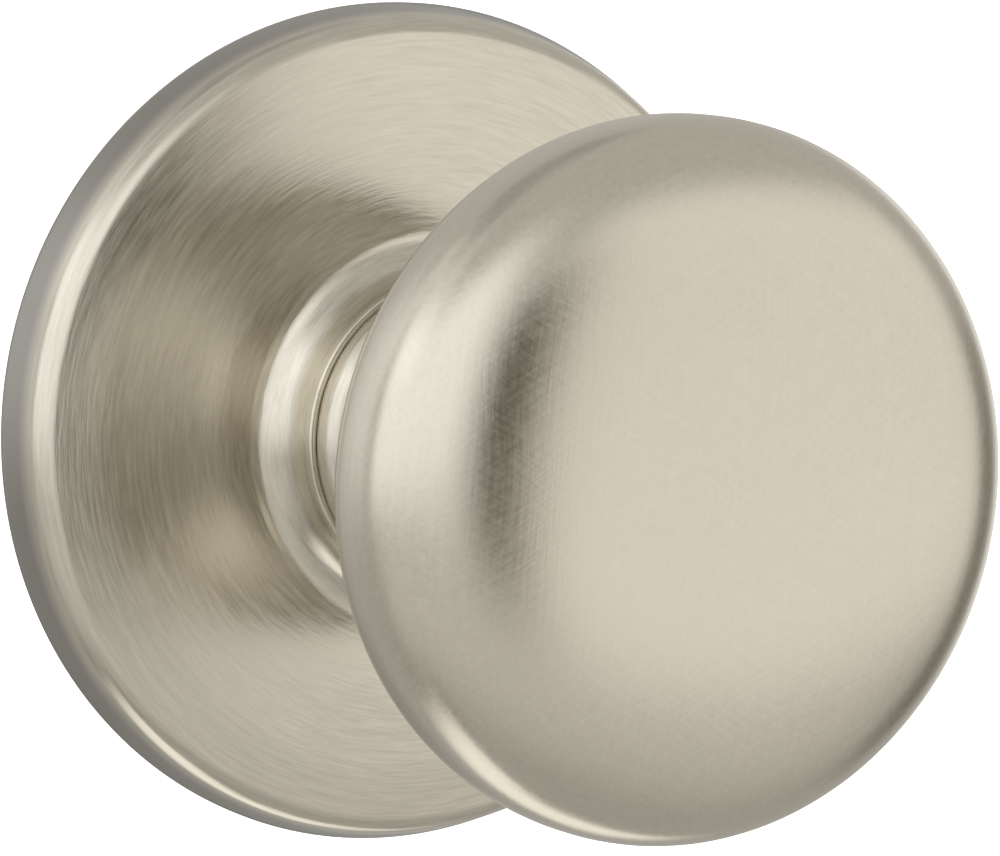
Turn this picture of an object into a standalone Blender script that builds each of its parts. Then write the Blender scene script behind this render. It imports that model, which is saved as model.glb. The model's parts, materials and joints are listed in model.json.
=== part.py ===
"""One side of a round passage door knob set: rose, knob and the turning mechanism behind them.

The origin is the centre of the rose on the door's face. The knob stands out along -Y and +Z is up.
Each piece is modelled with its own Z axis pointing out of the door, under an empty that turns it.
"""

import math

import bmesh
import bpy
from mathutils import Matrix, Vector

MM = 0.001
GAP = 0.3 * MM            # between pieces that seat on or slide along each other
INSET = 0.1 * MM          # a shape joined to another stops this far short of its faces

# Rose: pressed cover plate
ROSE_RADIUS = 33.35 * MM
ROSE_SHEET = 0.8 * MM
ROSE_EDGE_HEIGHT = 0.7 * MM
ROSE_SHOULDER_HEIGHT = 3.48 * MM
ROSE_SHOULDER_IN = 0.89 * MM   # how far the side leans in below the rounded rim
ROSE_RIM_ROUND = 2.1 * MM
ROSE_RIM_SLOPE = math.radians(10)
ROSE_RIM_WIDTH = 6.15 * MM     # from the edge to the middle of the ring
ROSE_RING_WIDTH = 1.4 * MM
ROSE_RING_STEP = 0.21 * MM
ROSE_FIELD_HEIGHT = 5.66 * MM  # at the ring
ROSE_FIELD_DOME = 1.06 * MM    # how much higher the field is at the flare's foot
ROSE_DOME_POWER = 1.25         # above 1 the field is flattest at the flare
COLLAR_HEIGHT = 11.3 * MM
COLLAR_STRAIGHT = 0.65 * MM
COLLAR_FLARE = 4.0 * MM
COLLAR_CLEARANCE = 0.475 * MM  # round the front bush
COLLAR_LIP = 0.35 * MM
ROSE_HOLE_CLEARANCE = 0.75 * MM

# Knob: two drawn shells
KNOB_RADIUS = 26.1 * MM
KNOB_EQUATOR = 44.7 * MM
KNOB_FRONT_DEPTH = 8.3 * MM
KNOB_FACE_POWER = 3.07    # 2 would be an ellipse, more is flatter
KNOB_FACE_ANGLES = (77, 62, 47, 35, 25, 17, 11, 5, 0)
FRONT_SHEET = 0.8 * MM
BACK_SHEET = 0.9 * MM
BACK_CORNER_RADIUS = 4.6 * MM
BACK_SLOPE = math.radians(52)
BACK_EDGE_START = math.radians(-18)
SEAM_LAP = 1.2 * MM
NECK_FILLET = 9.0 * MM
NECK_FOOT_SWELL = 1.425 * MM
NECK_FOOT_LENGTH = 1.4 * MM
NECK_FOOT_ROUND = 0.5 * MM
NECK_TAPER = ((0.0, 3.7 * MM), (0.3, 1.55 * MM), (0.87, 0.0))  # share of the swell, height over the foot

# Hub: cast ring inside the back shell
HUB_CLEARANCE = 0.48 * MM
HUB_FOOT_RISE = 4.5 * MM  # above the start of the neck's fillet
HUB_LIP = 1.6 * MM
HUB_RIM = 2.0 * MM

# Shank: the tube that the knob slides on
SHANK_RADIUS = 9.525 * MM
SHANK_WALL = 1.2 * MM
SHANK_BEHIND_DOOR = 6.6 * MM
SHANK_IN_KNOB = 5.0 * MM
KEY_WIDTH = 3.0 * MM
KEY_LAP = 1.0 * MM        # how far a key runs into the ring it is part of

# Mounting plate and its posts
PLATE_THICK = 1.2 * MM
PLATE_DISH = 0.3 * MM     # the middle stands this far off the door
PLATE_RIM_WIDTH = 4.35 * MM
PLATE_STEP_WIDTH = 0.4 * MM
POST_SPACING = 38.0 * MM
POST_RADIUS = 3.5 * MM
POST_LENGTH = 16.0 * MM
POST_BORE = 2.1 * MM
POST_BORE_END = 2.5 * MM  # behind the door's face
POST_TENON = 2.6 * MM

# Spring cage and its rivets
CAGE_SHEET = 0.8 * MM
CAGE_CORNER = 0.8 * MM
CAGE_CLEARANCE = 1.45 * MM     # outside the return spring
CAGE_FLANGE_EDGE = 0.5 * MM    # past the rivets' heads
LUG_THICK = 0.8 * MM
RIVET_CLEARANCE = 0.9 * MM     # from the cup's side to the rivets' heads
RIVET_RADIUS = 1.2 * MM
RIVET_HEAD_RADIUS = 2.1 * MM
RIVET_HEAD_THICK = 0.8 * MM
RIVET_CROWN = 0.6 * MM    # width of the head's sloping edge
RIVET_BRIM = 0.25 * MM
RIVET_COUNT = 3

# Return spring and driver
SPRING_WIRE = 0.55 * MM   # radius of the wire
SPRING_CLEARANCE = 0.45 * MM   # inside the return spring
SPRING_LEG_ANGLE = math.radians(9)
SPRING_STEPS = 30
DRIVER_THICK = 1.2 * MM
DRIVER_RING_WIDTH = 2.575 * MM
EAR_LAP = 1.0 * MM
TURN_LIMIT = math.radians(60)
STOP_MARGIN = math.radians(2)

# Bushes, washers and retaining ring
BUSH_WALL = 1.5 * MM
BUSH_FLANGE = 3.6 * MM
BUSH_FLANGE_THICK = 0.8 * MM
WASHER_WIDTH = 2.9 * MM
WASHER_THICK = 0.7 * MM
WAVE_THICK = 0.3 * MM
WAVE_HEIGHT = 0.3 * MM
WAVE_COUNT = 3
CLIP_THICK = 1.0 * MM
CLIP_WIDTH = 2.8 * MM
CLIP_MOUTH = math.radians(60)
GROOVE_DEPTH = 0.55 * MM

# Spindle, its plug and pin
SPINDLE_RADIUS = 3.9 * MM
SPINDLE_FLAT = 1.2 * MM   # from the axis to the flat
SPINDLE_BEHIND_DOOR = 50.0 * MM
PLUG_LENGTH = 13.0 * MM
PLUG_FRONT = 10.0 * MM
PIN_RADIUS = 1.2 * MM
PIN_HEIGHT = 7.5 * MM

# Catch that holds the knob on the shank
CATCH_HEIGHT = 19.2 * MM
CATCH_WIDTH = 3.6 * MM
CATCH_DEPTH = 3.0 * MM
CATCH_HEAD = 1.2 * MM     # how far the head stands out past the nose on each side
CATCH_HEAD_THICK = 1.6 * MM
CATCH_SPRING_RADIUS = 1.7 * MM
CATCH_SPRING_WIRE = 0.25 * MM
CATCH_SPRING_TURNS = 4
CATCH_SPRING_STEPS = 10   # in each turn
CATCH_LAP = 1.0 * MM      # how far the nose runs into the head
WINDOW_REACH = 6.0 * MM

FINE = 48                 # steps round the large turned pieces
COARSE = 32
SMALL = 16
ARC_STEPS = 4
OVERCUT = 1.0 * MM        # how far a cutter runs past what it cuts
SMOOTH_ANGLE = math.radians(35)

# Sizes that follow from the ones above
NECK_BORE = SHANK_RADIUS + GAP
NECK_RADIUS = NECK_BORE + BACK_SHEET
NECK_FOOT = COLLAR_HEIGHT + GAP
PLATE_RADIUS = ROSE_RADIUS - ROSE_SHEET - GAP
PLATE_TOP = PLATE_DISH + PLATE_THICK
PLATE_UNDERSIDE = PLATE_DISH - GAP   # where a piece staked or pressed behind the plate starts
CAGE_FOOT = PLATE_TOP + GAP
BUSH_BORE = SHANK_RADIUS + GAP
BUSH_RADIUS = BUSH_BORE + BUSH_WALL
COLLAR_RADIUS = BUSH_RADIUS + COLLAR_CLEARANCE + ROSE_SHEET
FIELD_START = COLLAR_RADIUS + COLLAR_FLARE
FIELD_END = ROSE_RADIUS - ROSE_RIM_WIDTH - ROSE_RING_WIDTH / 2
FIELD_TOP = ROSE_FIELD_HEIGHT + ROSE_FIELD_DOME
DRIVER_FOOT = PLATE_TOP + GAP
DRIVER_TOP = DRIVER_FOOT + DRIVER_THICK
DRIVER_RADIUS = SHANK_RADIUS + GAP + DRIVER_RING_WIDTH
LEG_END = DRIVER_RADIUS + GAP
DRIVE_TAB_RADIUS = DRIVER_RADIUS + GAP + LUG_THICK / 2
ANCHOR_RADIUS = DRIVE_TAB_RADIUS + LUG_THICK + GAP
SPRING_RADIUS = ANCHOR_RADIUS + LUG_THICK / 2 + SPRING_CLEARANCE + SPRING_WIRE
CAGE_RADIUS = SPRING_RADIUS + SPRING_WIRE + CAGE_CLEARANCE + CAGE_SHEET
RIVET_CIRCLE = CAGE_RADIUS + RIVET_CLEARANCE + RIVET_HEAD_RADIUS
CAGE_FLANGE_RADIUS = RIVET_CIRCLE + RIVET_HEAD_RADIUS + CAGE_FLANGE_EDGE
CAGE_SHARE = (CAGE_RADIUS - FIELD_START) / (FIELD_END - FIELD_START)
CAGE_TOP = FIELD_TOP - ROSE_FIELD_DOME * CAGE_SHARE ** ROSE_DOME_POWER - ROSE_SHEET - GAP
CAGE_CEILING = CAGE_TOP - CAGE_SHEET
THRUST_TOP = PLATE_UNDERSIDE - BUSH_FLANGE_THICK - GAP
WAVE_MIDDLE = THRUST_TOP - WASHER_THICK - GAP - WAVE_HEIGHT - WAVE_THICK / 2
CLIP_TOP = WAVE_MIDDLE - WAVE_HEIGHT - WAVE_THICK / 2 - GAP
CLIP_FOOT = CLIP_TOP - CLIP_THICK
SHANK_INSIDE = SHANK_RADIUS - SHANK_WALL
PLUG_RADIUS = SHANK_INSIDE - GAP
SLOT_WIDTH = KEY_WIDTH + 2 * GAP


def clear_scene():
    for obj in list(bpy.data.objects):
        bpy.data.objects.remove(obj, do_unlink=True)


def new_collection(name):
    made = bpy.data.collections.new(name)
    bpy.context.scene.collection.children.link(made)
    return made


clear_scene()
PARTS = new_collection("door_knob")
CUTTERS = new_collection("door_knob_cutters")


def new_axis(name, parent=None):
    """An empty on the knob's axis. The root one turns its children's Z to point out of the door."""
    empty = bpy.data.objects.new(name, None)
    empty.empty_display_size = 0.02
    PARTS.objects.link(empty)
    empty.parent = parent
    return empty


ROOT = new_axis("door_knob_frame")
ROOT.rotation_euler = (math.pi / 2, 0, 0)
TURNING = new_axis("knob_turn_axis", ROOT)


def material(name, colour, roughness, metallic):
    made = bpy.data.materials.new(name)
    made.use_nodes = True
    shader = made.node_tree.nodes["Principled BSDF"]
    shader.inputs["Base Color"].default_value = (*colour, 1)
    shader.inputs["Roughness"].default_value = roughness
    shader.inputs["Metallic"].default_value = metallic
    return made


SATIN_NICKEL = ((0.60, 0.56, 0.50), 0.32, 1.0)
ZINC_STEEL = ((0.62, 0.63, 0.65), 0.38, 1.0)
SPRING_STEEL = ((0.33, 0.33, 0.34), 0.35, 1.0)
DIE_CAST = ((0.50, 0.50, 0.51), 0.5, 1.0)
NYLON = ((0.86, 0.84, 0.78), 0.45, 0.0)


def finish(obj, look, parent=None):
    """Gives a part its material, parent and smooth shading."""
    obj.data.materials.clear()
    obj.data.materials.append(material(obj.name, *look))
    obj.parent = parent or ROOT
    if obj.type == "MESH":
        obj.data.shade_smooth()
        if obj.data.polygons:
            obj.data.set_sharp_from_angle(angle=SMOOTH_ANGLE)
    return obj


def mesh_object(name, shape, collection=PARTS):
    mesh = bpy.data.meshes.new(name)
    shape.to_mesh(mesh)
    shape.free()
    obj = bpy.data.objects.new(name, mesh)
    collection.objects.link(obj)
    return obj


def turned(name, profile, steps, sheet=0.0, closed=False):
    """Turns (radius, height) points about Z. A sheet thickness goes on the inside of the profile."""
    shape = bmesh.new()
    points = [shape.verts.new((radius, 0, height)) for radius, height in profile]
    for first, second in zip(points, points[1:]):
        shape.edges.new((first, second))
    if closed:
        shape.edges.new((points[-1], points[0]))
    obj = mesh_object(name, shape)
    screw = obj.modifiers.new("turn", "SCREW")
    screw.steps = steps
    screw.render_steps = steps
    screw.use_merge_vertices = True
    screw.merge_threshold = 0.000001
    screw.use_smooth_shade = True
    if sheet:
        wall = obj.modifiers.new("sheet", "SOLIDIFY")
        wall.thickness = sheet
        wall.offset = -1
        wall.use_even_offset = True
    return obj


def as_cutter(obj):
    obj.hide_render = True
    obj.display_type = "WIRE"
    obj.parent = ROOT
    return obj


def block(name, size, centre, turn=0.0, collection=CUTTERS):
    """A box of the given size whose centre is turned about Z from +X."""
    shape = bmesh.new()
    place = Matrix.Rotation(turn, 4, "Z") @ Matrix.Translation(centre) @ Matrix.Diagonal((*size, 1))
    bmesh.ops.create_cube(shape, size=1, matrix=place)
    return mesh_object(name, shape, collection)


def rod(name, radius, start, end, steps=SMALL, collection=CUTTERS):
    """A round bar between two points."""
    start = Vector(start)
    along = Vector(end) - start
    shape = bmesh.new()
    place = Matrix.Translation(start + along / 2) @ along.to_track_quat("Z", "X").to_matrix().to_4x4()
    bmesh.ops.create_cone(
        shape, cap_ends=True, segments=steps, radius1=radius, radius2=radius,
        depth=along.length, matrix=place,
    )
    return mesh_object(name, shape, collection)


def boolean(obj, tool, operation="DIFFERENCE"):
    as_cutter(tool)
    step = obj.modifiers.new(tool.name, "BOOLEAN")
    step.operation = operation
    step.object = tool
    step.solver = "EXACT"


def arc(centre, radius, start, end, count):
    """Points of an arc in the profile plane. Angle 0 points out along the radius, 90 degrees up."""
    points = []
    for index in range(count + 1):
        angle = start + (end - start) * index / count
        points.append((centre[0] + radius * math.cos(angle), centre[1] + radius * math.sin(angle)))
    return points


def ring_profile(inner, outer, foot, top):
    return [(outer, top), (outer, foot), (inner, foot), (inner, top)]


def at_angle(radius, angle, height=0.0):
    return (radius * math.cos(angle), radius * math.sin(angle), height)


# --- Fixed pieces -----------------------------------------------------------

def rose_profile():
    """Outside of the rose from the collar's hole, over the flare and the field, down to the door."""
    hole = SHANK_RADIUS + ROSE_HOLE_CLEARANCE
    flare_top = COLLAR_HEIGHT - COLLAR_LIP - COLLAR_STRAIGHT
    points = [(hole, COLLAR_HEIGHT), (COLLAR_RADIUS - COLLAR_LIP, COLLAR_HEIGHT)]
    points.append((COLLAR_RADIUS, COLLAR_HEIGHT - COLLAR_LIP))
    for across, up in arc((0, 0), 1, math.pi, 1.5 * math.pi, ARC_STEPS):
        radius = COLLAR_RADIUS + COLLAR_FLARE * (1 + across)
        points.append((radius, flare_top + (flare_top - FIELD_TOP) * up))
    for index in range(1, ARC_STEPS + 1):
        share = index / ARC_STEPS
        height = FIELD_TOP - ROSE_FIELD_DOME * share ** ROSE_DOME_POWER
        points.append((FIELD_START + (FIELD_END - FIELD_START) * share, height))
    points.append((FIELD_END + ROSE_RING_WIDTH, ROSE_FIELD_HEIGHT - ROSE_RING_STEP))
    lean = math.atan2(ROSE_SHOULDER_IN, ROSE_SHOULDER_HEIGHT - ROSE_EDGE_HEIGHT)
    shoulder = ROSE_RADIUS - ROSE_SHOULDER_IN
    rim_centre = (
        shoulder - ROSE_RIM_ROUND * math.cos(lean),
        ROSE_SHOULDER_HEIGHT - ROSE_RIM_ROUND * math.sin(lean),
    )
    points += arc(rim_centre, ROSE_RIM_ROUND, math.pi / 2 - ROSE_RIM_SLOPE, lean, ARC_STEPS)
    points.append((ROSE_RADIUS, ROSE_EDGE_HEIGHT))
    points.append((ROSE_RADIUS, 0))
    return points


def make_rose():
    return finish(turned("rose", rose_profile(), FINE, sheet=ROSE_SHEET), SATIN_NICKEL)


def post_places():
    return {"left": -POST_SPACING / 2, "right": POST_SPACING / 2}


def rivet_angles():
    return [math.pi / 2 + 2 * math.pi * index / RIVET_COUNT for index in range(RIVET_COUNT)]


def make_mounting_plate():
    """A pressed plate whose rim lies on the door and whose middle stands just off it."""
    hole = BUSH_RADIUS + GAP
    rim = PLATE_RADIUS - PLATE_RIM_WIDTH
    profile = [
        (PLATE_RADIUS, PLATE_THICK), (PLATE_RADIUS, 0), (rim, 0), (rim - PLATE_STEP_WIDTH, PLATE_DISH),
        (hole, PLATE_DISH), (hole, PLATE_TOP), (rim - PLATE_STEP_WIDTH, PLATE_TOP), (rim, PLATE_THICK),
    ]
    plate = turned("mounting_plate", profile, FINE, closed=True)
    for side, place in post_places().items():
        foot = (place, 0, -OVERCUT)
        top = (place, 0, PLATE_TOP + OVERCUT)
        boolean(plate, rod(f"plate_post_hole_{side}", POST_TENON + GAP, foot, top))
    for index, angle in enumerate(rivet_angles()):
        foot = at_angle(RIVET_CIRCLE, angle, -OVERCUT)
        top = at_angle(RIVET_CIRCLE, angle, PLATE_TOP + OVERCUT)
        boolean(plate, rod(f"plate_rivet_hole_{index + 1}", RIVET_RADIUS + GAP, foot, top))
    return finish(plate, ZINC_STEEL)


def make_post(side, place):
    """A turned post with a tenon staked in the plate and a bore for a through screw."""
    foot = -POST_LENGTH
    profile = [
        (0, PLATE_TOP), (POST_TENON, PLATE_TOP), (POST_TENON, PLATE_UNDERSIDE),
        (POST_RADIUS, PLATE_UNDERSIDE), (POST_RADIUS, foot), (POST_BORE, foot),
        (POST_BORE, -POST_BORE_END), (0, -POST_BORE_END),
    ]
    post = turned(f"post_{side}", profile, SMALL)
    post.location = (place, 0, 0)
    return finish(post, ZINC_STEEL)


def make_spring_cage():
    """A drawn cup over the return spring, with the spring's anchor lug and two stop lugs."""
    profile = [
        (BUSH_RADIUS + GAP, CAGE_TOP), (CAGE_RADIUS - CAGE_CORNER, CAGE_TOP),
        (CAGE_RADIUS, CAGE_TOP - CAGE_CORNER),
        (CAGE_RADIUS, CAGE_FOOT + CAGE_SHEET), (CAGE_FLANGE_RADIUS, CAGE_FOOT + CAGE_SHEET),
    ]
    cage = turned("spring_cage", profile, FINE, sheet=CAGE_SHEET)
    lug_foot = CAGE_FOOT
    lug_top = CAGE_TOP - CAGE_SHEET / 2
    height = lug_top - lug_foot
    middle = (lug_top + lug_foot) / 2
    anchor_half = ANCHOR_RADIUS * math.sin(SPRING_LEG_ANGLE) - SPRING_WIRE - GAP
    anchor = block(
        "anchor_lug", (LUG_THICK, 2 * anchor_half, height), (ANCHOR_RADIUS, 0, middle), math.pi / 2
    )
    boolean(cage, anchor, "UNION")
    for side, turn in (("left", 1), ("right", -1)):
        reach = TURN_LIMIT + STOP_MARGIN + 2 * drive_tab_half() / DRIVE_TAB_RADIUS
        stop = block(
            f"stop_lug_{side}", (LUG_THICK, 2 * drive_tab_half(), height),
            (DRIVE_TAB_RADIUS, 0, middle), -math.pi / 2 + turn * reach,
        )
        boolean(cage, stop, "UNION")
    for index, angle in enumerate(rivet_angles()):
        foot = at_angle(RIVET_CIRCLE, angle, 0)
        top = at_angle(RIVET_CIRCLE, angle, CAGE_CEILING)
        boolean(cage, rod(f"cage_rivet_hole_{index + 1}", RIVET_RADIUS + GAP, foot, top))
    return finish(cage, ZINC_STEEL)


def make_cage_rivet(index, angle):
    head_foot = CAGE_FOOT + CAGE_SHEET + GAP
    head_top = head_foot + RIVET_HEAD_THICK
    tail_foot = PLATE_UNDERSIDE - RIVET_HEAD_THICK
    profile = [
        (0, head_top), (RIVET_HEAD_RADIUS - RIVET_CROWN, head_top),
        (RIVET_HEAD_RADIUS, head_foot + RIVET_BRIM), (RIVET_HEAD_RADIUS, head_foot),
        (RIVET_RADIUS, head_foot), (RIVET_RADIUS, PLATE_UNDERSIDE), (RIVET_HEAD_RADIUS, PLATE_UNDERSIDE),
        (RIVET_HEAD_RADIUS, tail_foot), (0, tail_foot),
    ]
    rivet = turned(f"cage_rivet_{index + 1}", profile, SMALL)
    rivet.location = at_angle(RIVET_CIRCLE, angle)
    return finish(rivet, ZINC_STEEL)


def make_front_bush():
    """Nylon sleeve between the shank and the cage, with a flange that rests on the cage."""
    flange_foot = CAGE_TOP + GAP
    flange_top = flange_foot + BUSH_FLANGE_THICK
    profile = [
        (BUSH_RADIUS, COLLAR_HEIGHT - ROSE_SHEET - GAP), (BUSH_RADIUS, flange_top),
        (BUSH_BORE + BUSH_FLANGE, flange_top), (BUSH_BORE + BUSH_FLANGE, flange_foot),
        (BUSH_RADIUS, flange_foot), (BUSH_RADIUS, DRIVER_TOP + GAP),
        (BUSH_BORE, DRIVER_TOP + GAP), (BUSH_BORE, COLLAR_HEIGHT - ROSE_SHEET - GAP),
    ]
    return finish(turned("front_bush", profile, COARSE, closed=True), NYLON)


def make_rear_bush():
    flange_top = PLATE_UNDERSIDE
    flange_foot = flange_top - BUSH_FLANGE_THICK
    profile = [
        (BUSH_RADIUS, PLATE_TOP), (BUSH_RADIUS, flange_top), (BUSH_BORE + BUSH_FLANGE, flange_top),
        (BUSH_BORE + BUSH_FLANGE, flange_foot), (BUSH_BORE, flange_foot), (BUSH_BORE, PLATE_TOP),
    ]
    return finish(turned("rear_bush", profile, COARSE, closed=True), NYLON)


def wire(name, points, radius, look, parent=None):
    """A round wire along points, made a closed mesh."""
    curve = bpy.data.curves.new(name, "CURVE")
    curve.dimensions = "3D"
    curve.bevel_depth = radius
    curve.bevel_resolution = 2
    curve.use_fill_caps = True
    line = curve.splines.new("POLY")
    line.points.add(len(points) - 1)
    for point, place in zip(line.points, points):
        point.co = (*place, 1)
    obj = bpy.data.objects.new(name, curve)
    PARTS.objects.link(obj)
    return finish(obj, look, parent)


def make_return_spring():
    """A flat torsion ring whose two legs bend in beside the anchor lug."""
    level = CAGE_CEILING - GAP - SPRING_WIRE
    start = math.pi / 2 + SPRING_LEG_ANGLE
    sweep = 2 * (math.pi - SPRING_LEG_ANGLE)
    points = [at_angle(LEG_END, start, level)]
    for index in range(SPRING_STEPS + 1):
        points.append(at_angle(SPRING_RADIUS, start + sweep * index / SPRING_STEPS, level))
    points.append(at_angle(LEG_END, start + sweep, level))
    return wire("return_spring", points, SPRING_WIRE, SPRING_STEEL)


# --- Turning pieces ---------------------------------------------------------

def drive_tab_half():
    """Half the width of the driver's tabs, which fit between the spring's legs."""
    return DRIVE_TAB_RADIUS * math.sin(SPRING_LEG_ANGLE) - SPRING_WIRE - GAP


def make_driver():
    """A ring keyed to the shank. One tab pushes the spring's legs, the other meets the stops."""
    ring = ring_profile(SHANK_RADIUS + GAP, DRIVER_RADIUS, DRIVER_FOOT, DRIVER_TOP)
    driver = turned("driver", ring, COARSE, closed=True)
    top = CAGE_CEILING - GAP
    height = top - DRIVER_FOOT
    middle = (top + DRIVER_FOOT) / 2
    ear_start = DRIVER_RADIUS - EAR_LAP
    ear = DRIVE_TAB_RADIUS - ear_start
    for name, turn in (("drive", math.pi / 2), ("stop", -math.pi / 2)):
        foot = block(
            f"driver_{name}_ear", (ear, 2 * (drive_tab_half() - INSET), DRIVER_THICK - 2 * INSET),
            (ear_start + ear / 2, 0, (DRIVER_FOOT + DRIVER_TOP) / 2), turn,
        )
        boolean(driver, foot, "UNION")
        tab = block(
            f"driver_{name}_tab", (LUG_THICK, 2 * drive_tab_half(), height),
            (DRIVE_TAB_RADIUS, 0, middle), turn,
        )
        boolean(driver, tab, "UNION")
    add_keys(driver, DRIVER_FOOT, DRIVER_TOP)
    return finish(driver, ZINC_STEEL, TURNING)


def add_keys(obj, foot, top):
    """Two keys that reach in through the shank's slots."""
    inner = SHANK_INSIDE + GAP
    outer = SHANK_RADIUS + GAP + KEY_LAP
    for side, turn in (("right", 0), ("left", math.pi)):
        key = block(
            f"{obj.name}_key_{side}", (outer - inner, KEY_WIDTH, top - foot - 2 * INSET),
            ((outer + inner) / 2, 0, (foot + top) / 2), turn,
        )
        boolean(obj, key, "UNION")


def back_curve():
    """Centres and ends of the back shell's arcs: rolled edge, cone and neck fillet."""
    corner = (KNOB_RADIUS - BACK_CORNER_RADIUS, KNOB_EQUATOR)
    edge = BACK_CORNER_RADIUS - FRONT_SHEET - GAP
    cone_top = (
        corner[0] + edge * math.cos(BACK_SLOPE),
        corner[1] - edge * math.sin(BACK_SLOPE),
    )
    fillet_radius_end = NECK_RADIUS + NECK_FILLET * (1 - math.cos(BACK_SLOPE))
    drop = (cone_top[0] - fillet_radius_end) / math.tan(BACK_SLOPE)
    fillet = (NECK_RADIUS + NECK_FILLET, cone_top[1] - drop - NECK_FILLET * math.sin(BACK_SLOPE))
    return corner, edge, fillet


def knob_front_profile():
    """Outside of the face and side, from the axis to the edge that is rolled over the back shell."""
    points = [(0, KNOB_EQUATOR + KNOB_FRONT_DEPTH)]
    for angle in KNOB_FACE_ANGLES:
        turn = math.radians(angle)
        radius = KNOB_RADIUS * math.cos(turn) ** (2 / KNOB_FACE_POWER)
        height = KNOB_EQUATOR + KNOB_FRONT_DEPTH * math.sin(turn) ** (2 / KNOB_FACE_POWER)
        points.append((radius, height))
    corner, _, _ = back_curve()
    points += arc(corner, BACK_CORNER_RADIUS, 0, -BACK_SLOPE, ARC_STEPS)[1:]
    last = points[-1]
    points.append((last[0] - SEAM_LAP * math.sin(BACK_SLOPE), last[1] - SEAM_LAP * math.cos(BACK_SLOPE)))
    return points


def make_knob_front_shell():
    shell = turned("knob_front_shell", knob_front_profile(), FINE, sheet=FRONT_SHEET)
    return finish(shell, SATIN_NICKEL, TURNING)


def knob_back_profile():
    """Outside of the back shell: edge under the rolled seam, cone, fillet, neck and its foot."""
    corner, edge, fillet = back_curve()
    points = arc(corner, edge, BACK_EDGE_START, -BACK_SLOPE, ARC_STEPS // 2)
    points += arc(fillet, NECK_FILLET, math.pi - BACK_SLOPE, math.pi, ARC_STEPS)
    foot_top = NECK_FOOT + NECK_FOOT_LENGTH
    foot_radius = NECK_RADIUS + NECK_FOOT_SWELL
    for share, rise in NECK_TAPER:
        points.append((NECK_RADIUS + share * NECK_FOOT_SWELL, foot_top + rise))
    points.append((foot_radius, foot_top - NECK_FOOT_ROUND))
    points.append((foot_radius, NECK_FOOT + NECK_FOOT_ROUND))
    points.append((foot_radius - NECK_FOOT_ROUND / 2, NECK_FOOT))
    return points


def make_knob_back_shell():
    shell = turned("knob_back_shell", knob_back_profile(), FINE, sheet=BACK_SHEET)
    window = block(
        "neck_window", (WINDOW_REACH, CATCH_WIDTH + 2 * GAP, CATCH_DEPTH + 2 * GAP),
        (NECK_RADIUS, 0, CATCH_HEIGHT), -math.pi / 2,
    )
    boolean(shell, window)
    return finish(shell, SATIN_NICKEL, TURNING)


def inside_of_back(height):
    """Inner radius of the back shell's funnel at a height on its fillet."""
    _, _, fillet = back_curve()
    radius = NECK_FILLET + BACK_SHEET
    return fillet[0] - math.sqrt(radius ** 2 - (height - fillet[1]) ** 2)


def hub_heights():
    _, _, fillet = back_curve()
    foot = fillet[1] + HUB_FOOT_RISE
    shoulder = fillet[1] + (NECK_FILLET + BACK_SHEET) * math.sin(BACK_SLOPE)
    return foot, shoulder


def make_knob_hub():
    """A cast ring staked in the funnel of the back shell, keyed to the shank."""
    foot, shoulder = hub_heights()
    edge = inside_of_back(shoulder) - HUB_CLEARANCE
    spread = HUB_LIP * math.tan(BACK_SLOPE)
    top = shoulder + HUB_LIP + HUB_RIM
    profile = [
        (edge + spread, top),
        (edge + spread, shoulder + HUB_LIP),
        (edge, shoulder),
        (inside_of_back(foot) - HUB_CLEARANCE, foot),
        (SHANK_RADIUS + GAP, foot),
        (SHANK_RADIUS + GAP, top),
    ]
    hub = turned("knob_hub", profile, COARSE, closed=True)
    add_keys(hub, shoulder, top)
    return finish(hub, DIE_CAST, TURNING)


def make_shank():
    """A steel tube with two slots at each end, a groove for the retaining ring and two cross holes."""
    _, shoulder = hub_heights()
    foot = -SHANK_BEHIND_DOOR
    top = shoulder + SHANK_IN_KNOB
    groove = SHANK_RADIUS - GROOVE_DEPTH
    profile = [
        (SHANK_RADIUS, top), (SHANK_RADIUS, CLIP_TOP + GAP), (groove, CLIP_TOP + GAP),
        (groove, CLIP_FOOT - GAP), (SHANK_RADIUS, CLIP_FOOT - GAP), (SHANK_RADIUS, foot),
        (SHANK_INSIDE, foot), (SHANK_INSIDE, top),
    ]
    shank = turned("shank", profile, COARSE, closed=True)
    wide = 2 * (SHANK_RADIUS + OVERCUT)
    low_top = DRIVER_TOP + GAP
    low_foot = foot - OVERCUT
    high_top = top + OVERCUT
    high_foot = shoulder - GAP
    low = block("shank_rear_slots", (wide, SLOT_WIDTH, low_top - low_foot), (0, 0, (low_top + low_foot) / 2))
    high = block(
        "shank_front_slots", (wide, SLOT_WIDTH, high_top - high_foot), (0, 0, (high_top + high_foot) / 2)
    )
    boolean(shank, low)
    boolean(shank, high)
    reach = SHANK_RADIUS + OVERCUT
    boolean(shank, rod("shank_pin_hole", PIN_RADIUS + GAP, (0, -reach, PIN_HEIGHT), (0, reach, PIN_HEIGHT)))
    window = block(
        "shank_window", (WINDOW_REACH, CATCH_WIDTH + 2 * GAP, CATCH_DEPTH + 2 * GAP),
        (SHANK_RADIUS, 0, CATCH_HEIGHT), -math.pi / 2,
    )
    boolean(shank, window)
    return finish(shank, ZINC_STEEL, TURNING)


def d_bar(name, radius, flat, foot, top, collection=CUTTERS):
    """A round bar with one flat along its underside."""
    bar = rod(name, radius, (0, 0, foot), (0, 0, top), COARSE, collection)
    size = (4 * radius, 2 * radius, top - foot + 2 * OVERCUT)
    boolean(bar, block(f"{name}_flat", size, (0, -flat - radius, (foot + top) / 2)))
    return bar


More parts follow.
